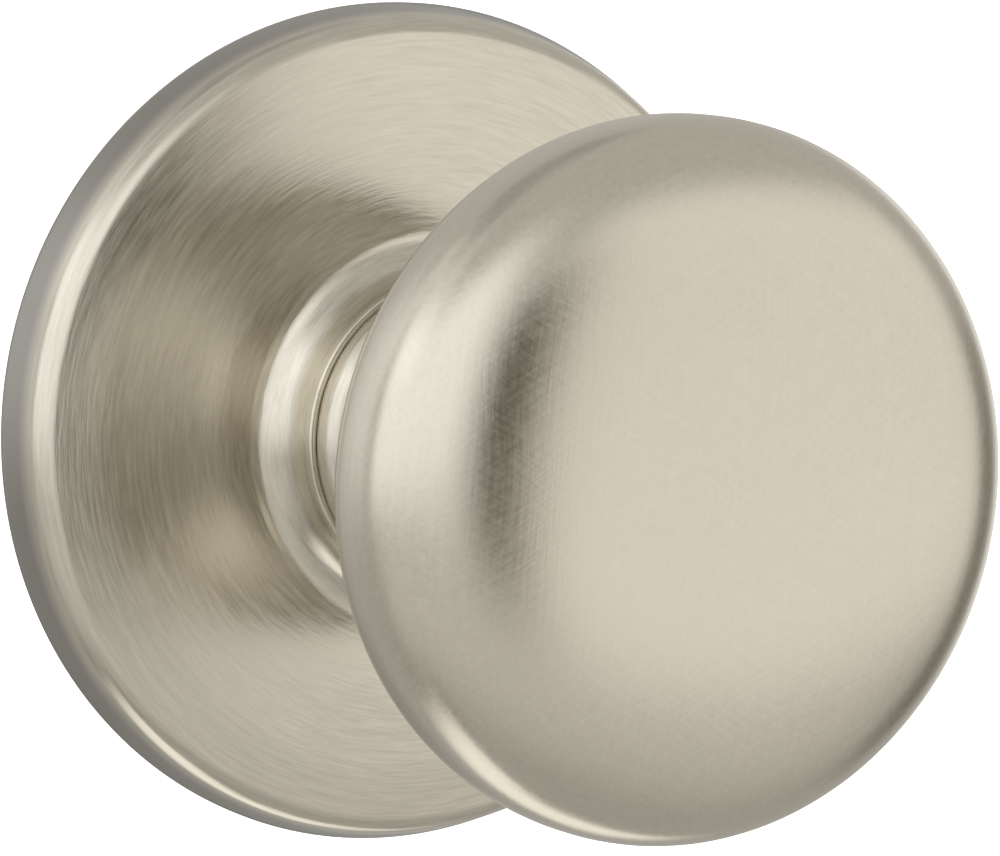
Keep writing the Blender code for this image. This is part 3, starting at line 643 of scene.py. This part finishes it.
def arc(centre, across, upwards, start, end, steps):
    """Points on a quarter or other part of an ellipse, from start to end degrees."""
    points = []
    for index in range(steps + 1):
        turn = math.radians(start + (end - start) * index / steps)
        points.append((centre[0] + across * math.cos(turn), centre[1] + upwards * math.sin(turn)))
    return points


def baked(obj):
    """The piece's mesh with its modifiers applied."""
    graph = bpy.context.evaluated_depsgraph_get()
    return bpy.data.meshes.new_from_object(obj.evaluated_get(graph))


def keep_baked(obj, made):
    """Gives the piece its finished mesh, smooth but for its sharp corners."""
    obj.modifiers.clear()
    obj.data = made
    made.shade_smooth()
    made.set_sharp_from_angle(angle=SHARP_ANGLE)
    return obj


def turn_profile(name, profile, steps, closed):
    """Spins (radius, height) points, in mm, round the knob's axis."""
    mesh = bpy.data.meshes.new(name)
    count = len(profile)
    edges = [(i, (i + 1) % count) for i in range(count if closed else count - 1)]
    mesh.from_pydata([(r * MM, -h * MM, 0.0) for r, h in profile], edges, [])
    obj = linked(name, mesh)
    screw = obj.modifiers.new("turn", "SCREW")
    screw.axis = "Y"
    screw.steps = steps
    screw.render_steps = steps
    screw.use_merge_vertices = True
    screw.merge_threshold = WELD_DISTANCE
    made = baked(obj)
    shape = bmesh.new()
    shape.from_mesh(made)
    bmesh.ops.recalc_face_normals(shape, faces=shape.faces)
    shape.to_mesh(made)
    shape.free()
    return keep_baked(obj, made)


quarter = arc((0.0, 0.0), 1.0, 1.0, 0, 90, 4)
print("a quarter circle drawn with", len(quarter), "points")

# %% [markdown]
# ## The rose
# A spun brass cover: a collar with an eased lip flares out of a gently domed field, and a rounded rim
# ends in a side wall that leans in a little. It could be a lathe form, a stack of discs or a curve
# swept round. The outline is drawn here once, outside and back along the inside, so that the sheet
# has a real thickness at its edge.

# %% Rose
ROSE_RADIUS = 33.35
ROSE_BORE = 10.275
COLLAR_TOP, COLLAR_UNDER = 11.3, 10.5
LIP_CENTRE, LIP_ROUND = (12.35, 11.05), 0.25
FLARE_CENTRE, FLARE_WIDTH, FLARE_RISE = (15.8, 10.3), 3.2, 3.58
RIM_CENTRE, RIM_ROUND = (30.46, 2.84), 2.1
RIM_START = 80
SIDE_IN, SIDE_RISE = 0.89, 2.78
EDGE_ROUND = 0.12
DOME = [(16.6, 6.71), (18.3, 6.60), (20.0, 6.45), (22.0, 6.23), (24.0, 5.98), (26.0, 5.72), (26.5, 5.66)]
RIM_STEP = [(27.2, 5.56), (27.9, 5.45)]
UNDERSIDE = [(32.55, 0.0), (32.5, 0.7), (31.7, 3.0), (30.6, 4.1), (27.6, 4.6), (20.0, 5.6), (16.4, 5.9)]
COLLAR_INSIDE = [(14.6, 6.3), (13.1, 7.4), (12.2, 8.6), (11.8, 10.2)]


def rose_outline():
    points = [(ROSE_BORE, COLLAR_TOP), (12.3, COLLAR_TOP)]
    points += arc(LIP_CENTRE, LIP_ROUND, LIP_ROUND, 90, 0, 6)
    points += arc(FLARE_CENTRE, FLARE_WIDTH, FLARE_RISE, 180, 270, 24)
    points += DOME + RIM_STEP
    lean = math.degrees(math.atan2(SIDE_IN, SIDE_RISE))
    points += arc(RIM_CENTRE, RIM_ROUND, RIM_ROUND, RIM_START, lean, 18)
    points += [(ROSE_RADIUS, 0.7), (ROSE_RADIUS, EDGE_ROUND)]
    points += arc((33.23, EDGE_ROUND), EDGE_ROUND, EDGE_ROUND, 0, -90, 3)[1:]
    points += UNDERSIDE + COLLAR_INSIDE
    points += [(11.8, COLLAR_UNDER), (ROSE_BORE, COLLAR_UNDER)]
    return points


def dress(obj, material, slot_name, body, *stands_for):
    """Gives the piece its finish and the body it rides on, and hides the solids it stands for. The slot
    name is not used.
    """
    obj.data.materials.clear()
    obj.data.materials.append(material)
    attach(obj, body)
    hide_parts(*stands_for)
    print(obj.name, "faces:", len(obj.data.polygons))
    return obj


rose = turn_profile("rose_shell", rose_outline(), 224, closed=True)
dress(rose, rose_nickel, "satin_nickel", "trim", "rose")

# %% [markdown]
# ## The knob's face
# A drawn brass dome with a full rounded side, rolled over the back shell. A sphere or a plain
# ellipse would be too pointed at the side, so the outline is a curve whose power is more than two,
# which is flatter in the middle and fuller at the side.

# %% Knob front
KNOB_RADIUS = 26.1
KNOB_SEAT = 44.7
KNOB_RISE = 8.3
FULLNESS = 2 / 3.07
CROWDING = 1.35
FACE_STEPS, INSIDE_STEPS = 40, 10
SHEET = 0.8
ROLL_CENTRE, ROLL_ROUND = (21.5, KNOB_SEAT), 4.6
ROLL_END = 52
ROLL_LIP = 1.2


def full_curve(turn, radius, rise):
    """A point on the face's outline. The turn is 90 degrees in the middle and 0 at the side."""
    across = radius * max(math.cos(turn), 0.0) ** FULLNESS
    return across, KNOB_SEAT + rise * max(math.sin(turn), 0.0) ** FULLNESS


def moved(point, direction, distance):
    return point[0] + distance * direction[0], point[1] + distance * direction[1]


def front_outline():
    turns = [math.radians(90 - 90 * (index / FACE_STEPS) ** CROWDING) for index in range(FACE_STEPS + 1)]
    points = [(0.0, KNOB_SEAT + KNOB_RISE)]
    points += [full_curve(turn, KNOB_RADIUS, KNOB_RISE) for turn in turns[1:]]
    points += arc(ROLL_CENTRE, ROLL_ROUND, ROLL_ROUND, 0, -ROLL_END, 12)[1:]
    end, roll = points[-1], math.radians(ROLL_END)
    along, inwards = (-math.sin(roll), -math.cos(roll)), (-math.cos(roll), math.sin(roll))
    lip = moved(end, along, ROLL_LIP)
    points += [lip, moved(lip, inwards, SHEET), moved(end, inwards, SHEET)]
    points += arc(ROLL_CENTRE, ROLL_ROUND - SHEET, ROLL_ROUND - SHEET, -40, 0, 6)
    turns = [math.radians(90 * (index / INSIDE_STEPS)) for index in range(INSIDE_STEPS)]
    points += [full_curve(turn, KNOB_RADIUS - SHEET, KNOB_RISE - SHEET) for turn in turns]
    points.append((0.0, KNOB_SEAT + KNOB_RISE - SHEET))
    return points


front = turn_profile("knob_face_shell", front_outline(), 224, closed=False)
dress(front, face_nickel, "satin_nickel", "knob", "knob_front_shell")

# %% [markdown]
# ## The knob's back and neck
# A second drawn shell: a cone that starts inside the rolled edge, a wide fillet, a straight neck and
# a foot that swells to meet the rose's collar. It is one sheet from end to end, so one outline goes
# out along its outside and back along its inside. Two shells with a seam are how such hollow knobs
# are made, and the seam is hidden behind the roll.

# %% Knob back
FILLET_CENTRE, FILLET_ROUND, FILLET_END = (19.725, 27.45), 9.0, 128
BACK_SHEET = 0.9
NECK = [(10.725, 22.0), (10.725, 17.2), (10.78, 16.3), (10.95, 15.3), (11.25, 14.3)]
NECK_INSIDE = [(9.95, 11.45), (9.85, 11.8), (9.85, 26.0)]


def back_outline():
    inner_round = FILLET_ROUND + BACK_SHEET
    points = arc(ROLL_CENTRE, 3.5, 3.5, -18, -ROLL_END, 6)
    points += arc(FILLET_CENTRE, FILLET_ROUND, FILLET_ROUND, FILLET_END, 180, 24)
    points += NECK
    points += arc((11.2, 12.3), 0.95, 1.2, 62, 0, 8)
    points += arc((11.95, 11.65), 0.2, 0.2, 0, -90, 4)
    points += NECK_INSIDE
    points += arc(FILLET_CENTRE, inner_round, inner_round, 180, FILLET_END, 12)
    points += arc(ROLL_CENTRE, 2.6, 2.6, -ROLL_END, -18, 4)
    return points


neck = turn_profile("knob_back_and_neck", back_outline(), 192, closed=True)
dress(neck, neck_nickel, "satin_nickel", "knob", "knob_back_shell")

# %% [markdown]
# ## Softening a corner
# No machined corner is a knife edge. This helper replaces each corner of a profile by a short curve,
# so that a turned part catches a thin line of light there.

# %% Eased corners


def eased(profile, ease):
    """Rounds the corners of a closed profile by up to ease, in mm."""
    points = []
    count = len(profile)
    for index, corner in enumerate(profile):
        here = Vector(corner)
        before, after = Vector(profile[index - 1]) - here, Vector(profile[(index + 1) % count]) - here
        start = here + before.normalized() * min(ease, 0.4 * before.length)
        end = here + after.normalized() * min(ease, 0.4 * after.length)
        middle = (start + 2 * here + end) / 4
        points += [tuple(start), tuple(middle), tuple(end)]
    return points


def shifted(obj, x=0.0, z=0.0):
    """Moves the mesh itself, in mm, so that the piece stays at the origin like the solids."""
    obj.data.transform(Matrix.Translation((x * MM, 0.0, z * MM)))
    return obj


def cut(obj, cutters):
    """Takes the cutters away from the piece and leaves its mesh smooth again."""
    for cutter in cutters:
        step = obj.modifiers.new(cutter.name, "BOOLEAN")
        step.object = cutter
        step.solver = "EXACT"
    made = baked(obj)
    for cutter in cutters:
        bpy.data.objects.remove(cutter)
    return keep_baked(obj, made)


def round_cutter(name, radius, x, z, low, high):
    """A cutting cylinder along the knob's axis."""
    outline = [(0.0, high), (radius, high), (radius, low), (0.0, low)]
    return shifted(turn_profile(name, outline, 48, closed=False), x, z)


def box_cutter(name, centre, size):
    """A cutting box. Its centre and size are in mm, along X, along the axis out of the door, and up."""
    shape = bmesh.new()
    bmesh.ops.create_cube(shape, size=1.0)
    mesh = bpy.data.meshes.new(name)
    shape.to_mesh(mesh)
    shape.free()
    mesh.transform(Matrix.Diagonal((size[0] * MM, size[1] * MM, size[2] * MM, 1.0)))
    mesh.transform(Matrix.Translation((centre[0] * MM, -centre[1] * MM, centre[2] * MM)))
    return linked(name, mesh)


print("a square corner becomes", len(eased([(0, 0), (1, 0), (1, 1), (0, 1)], 0.1)) // 4, "points")

# %% [markdown]
# ## The catch window
# A small window under the neck lets a pin tool press the catch, which lets the knob slide off its
# shank. It is cut with a Boolean, from underneath.

# %% Catch window
CATCH_HEIGHT = 19.2
WINDOW_SIZE = (4.2, 3.6, 6.0)
cut(neck, [box_cutter("neck_window", (0.0, CATCH_HEIGHT, -12.0), WINDOW_SIZE)])
print("neck faces with its window:", len(neck.data.polygons))

# %% [markdown]
# ## The mounting plate
# A pressed steel disc behind the rose. Its rim lies on the door and its middle stands just off it.
# It is turned like the rose, and then its holes for the posts and rivets are cut.

# %% Mounting plate
POST_X = 19.0
RIVET_CIRCLE = 21.4
RIVET_TURNS = [math.radians(90 + 120 * index) for index in range(3)]
rivet_places = [(RIVET_CIRCLE * math.cos(turn), RIVET_CIRCLE * math.sin(turn)) for turn in RIVET_TURNS]
plate_outline = [(32.25, 1.2), (32.25, 0.0), (27.9, 0.0), (27.5, 0.3), (11.625, 0.3), (11.625, 1.5),
                 (27.5, 1.5), (27.9, 1.2)]
plate = turn_profile("mounting_plate_pressed", eased(plate_outline, 0.15), 160, closed=True)
holes = [round_cutter("post_hole", 2.9, x, 0.0, -2.0, 3.0) for x in (-POST_X, POST_X)]
holes += [round_cutter("rivet_hole", 1.5, x, z, -2.0, 3.0) for x, z in rivet_places]
cut(plate, holes)
dress(plate, zinc_plate, "zinc_plated_steel", "trim", "mounting_plate")

# %% [markdown]
# ## Posts and rivets
# Two turned posts are staked in the plate. The through screws run into them from the other side of
# the door. Three small rivets with domed tails hold the spring cage.

# %% Posts and rivets
post_outline = [(0.0, 1.5), (2.6, 1.5), (2.6, 0.0), (3.5, 0.0), (3.5, -16.0), (2.1, -16.0), (2.1, -2.5),
                (0.0, -2.5)]
POST_EASE = 0.3
for side, x in (("left", -POST_X), ("right", POST_X)):
    outline = [post_outline[0]] + eased(post_outline, POST_EASE)[3:-3] + [post_outline[-1]]
    post = shifted(turn_profile(f"post_turned_{side}", outline, 48, closed=False), x)
    dress(post, zinc_plate, "zinc_plated_steel", "trim", f"post_{side}")
rivet_outline = [(0.0, 3.7)] + arc((0.9, 3.15), 1.2, 0.55, 90, 0, 6)
rivet_outline += [(2.1, 2.9), (1.2, 2.9), (1.2, 0.0), (2.1, 0.0)]
rivet_outline += arc((1.1, -0.25), 1.0, 0.55, 0, -90, 6) + [(0.0, -0.8)]
for index, (x, z) in enumerate(rivet_places):
    rivet = shifted(turn_profile(f"rivet_domed_{index + 1}", rivet_outline, 32, closed=False), x, z)
    dress(rivet, zinc_plate, "zinc_plated_steel", "trim", f"cage_rivet_{index + 1}")

# %% [markdown]
# ## The rear bush and the washers
# A nylon bush guides the shank in the plate. Behind it a flat washer, a wavy spring washer and an
# open clip in the shank's groove keep the knob from sliding out. All three are turned, and the wavy
# one is then bent by moving each of its points along the axis by a cosine of its angle.

# %% Rear bush and washers
bush_outline = [(11.325, 1.5), (11.325, 0.0), (13.425, 0.0), (13.425, -0.8), (9.825, -0.8), (9.825, 1.5)]
bush = turn_profile("rear_bush_moulded", eased(bush_outline, 0.2), 128, closed=True)
dress(bush, nylon, "nylon", "trim", "rear_bush")
washer_outline = [(12.725, -1.1), (12.725, -1.8), (9.825, -1.8), (9.825, -1.1)]
washer = turn_profile("thrust_washer_blanked", eased(washer_outline, 0.15), 128, closed=True)
dress(washer, zinc_plate, "zinc_plated_steel", "knob", "thrust_washer")

wave_outline = [(12.725, -2.4), (12.725, -2.7), (9.825, -2.7), (9.825, -2.4)]
wave = turn_profile("wave_washer_pressed", eased(wave_outline, 0.08), 144, closed=True)
WAVE_RISE = 0.3
WAVES = 3
for vertex in wave.data.vertices:
    turn = math.atan2(vertex.co.z, vertex.co.x)
    vertex.co.y -= WAVE_RISE * MM * math.cos(WAVES * turn)
dress(wave, spring_steel, "spring_steel", "knob", "wave_washer")

# %% [markdown]
# ## The retaining clip
# An open ring of spring steel, snapped into the groove from below. It is turned as a whole ring, and
# a box then cuts the mouth, which keeps the eased edges true everywhere else.

# %% Retaining clip
clip_outline = [(12.325, -3.3), (12.325, -4.3), (9.275, -4.3), (9.275, -3.3)]
clip = turn_profile("retaining_clip", eased(clip_outline, 0.12), 128, closed=True)
cut(clip, [box_cutter("clip_mouth", (0.0, -3.8, -12.325), (9.275, 3.0, 24.65))])
dress(clip, spring_steel, "spring_steel", "knob", "retaining_ring")

# %% [markdown]
# ## Shank, plug and spindle
# The shank is a steel tube with slots for the driver's keys and a window for the catch. A cast plug
# in its end grips the D-shaped spindle that turns the latch. The plug's hole and the spindle come
# from the same helper, so that they fit each other.

# %% Shank, plug and spindle
shank_outline = [(9.525, 40.25), (9.525, -3.0), (8.975, -3.0), (8.975, -4.6), (9.525, -4.6), (9.525, -6.6),
                 (8.325, -6.6), (8.325, 40.25)]
shank = turn_profile("shank_tube", eased(shank_outline, 0.15), 128, closed=True)
shank_cuts = [
    box_cutter("rear_slots", (0.0, -2.15, 0.0), (22.0, 10.9, 3.6)),
    box_cutter("shank_window", (0.0, CATCH_HEIGHT, -10.0), WINDOW_SIZE),
]
cut(shank, shank_cuts)
dress(shank, zinc_plate, "zinc_plated_steel", "knob", "shank")
plug_outline = [(0.0, 10.0), (8.025, 10.0)] + arc((7.725, -2.7), 0.3, 0.3, 0, -90, 4) + [(0.0, -3.0)]
plug = turn_profile("spindle_plug_cast", plug_outline, 96, closed=False)


def d_section(name, radius, flat, low, high, ease):
    """A round bar with a flat along its underside and eased ends."""
    outline = [(0.0, high), (radius - ease, high), (radius, high - ease), (radius, low + ease),
               (radius - ease, low), (0.0, low)]
    bar = turn_profile(name, outline, 64, closed=False)
    place = (0.0, (low + high) / 2, -flat - radius)
    return cut(bar, [box_cutter(f"{name}_flat", place, (4 * radius, high - low + 2, 2 * radius))])


cut(plug, [d_section("plug_hole", 4.2, 1.5, -5.0, 12.0, 0.01)])
dress(plug, zinc_casting, "zinc_casting", "knob", "spindle_plug")
spindle = d_section("spindle_drawn", 3.9, 1.2, -50.0, 10.0, 0.5)
dress(spindle, zinc_plate, "zinc_plated_steel", "knob", "spindle")

# %% [markdown]
# ## The catch spring
# A small coil presses the catch outwards. When the catch is pushed in, the coil gets shorter towards its
# fixed end, the far wall of the shank.

# %% Catch spring
COIL_RADIUS, COIL_WIRE, COIL_TURNS = 1.7, 0.25, 4
COIL_START, COIL_END = -5.3, 7.475
COIL_STEPS = 24
coil = bpy.data.curves.new("catch_spring_coil", "CURVE")
coil.dimensions = "3D"
coil.bevel_depth = COIL_WIRE * MM
coil.bevel_resolution = 3
coil.use_fill_caps = True
line = coil.splines.new("POLY")
line.points.add(COIL_STEPS * COIL_TURNS)
for index, point in enumerate(line.points):
    share = index / (COIL_STEPS * COIL_TURNS)
    turn = 2 * math.pi * COIL_TURNS * share
    out = CATCH_HEIGHT + COIL_RADIUS * math.sin(turn)
    up = COIL_START + (COIL_END - COIL_START) * share
    point.co = (COIL_RADIUS * math.cos(turn) * MM, -out * MM, up * MM, 1)
wire = linked("catch_spring_wire", coil)
spring = linked("catch_spring_coil", baked(wire))
bpy.data.objects.remove(wire)
spring.data.shade_smooth()
dress(spring, spring_steel, "spring_steel", "knob", "catch_spring")
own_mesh(spring)

# %% [markdown]
# ## The solids that stay
# The rest of the mechanism is hidden inside, where its solid shapes are right as they are. Each one
# keeps its shape and takes the finish that the record names for it. The solids that a turned piece
# stands for get theirs as well, so that no solid is left plain.

# %% Finish the solids that stay
dressed = []
for part in frame["record"]["subparts"]:
    solid = frame["nodes"][part["node"]]
    for index in range(len(solid.data.materials)):
        solid.data.materials[index] = BY_SLOT[part["material_slot"]]
    dressed.append(part["node"])
print("solids given a finish:", len(dressed), dressed)
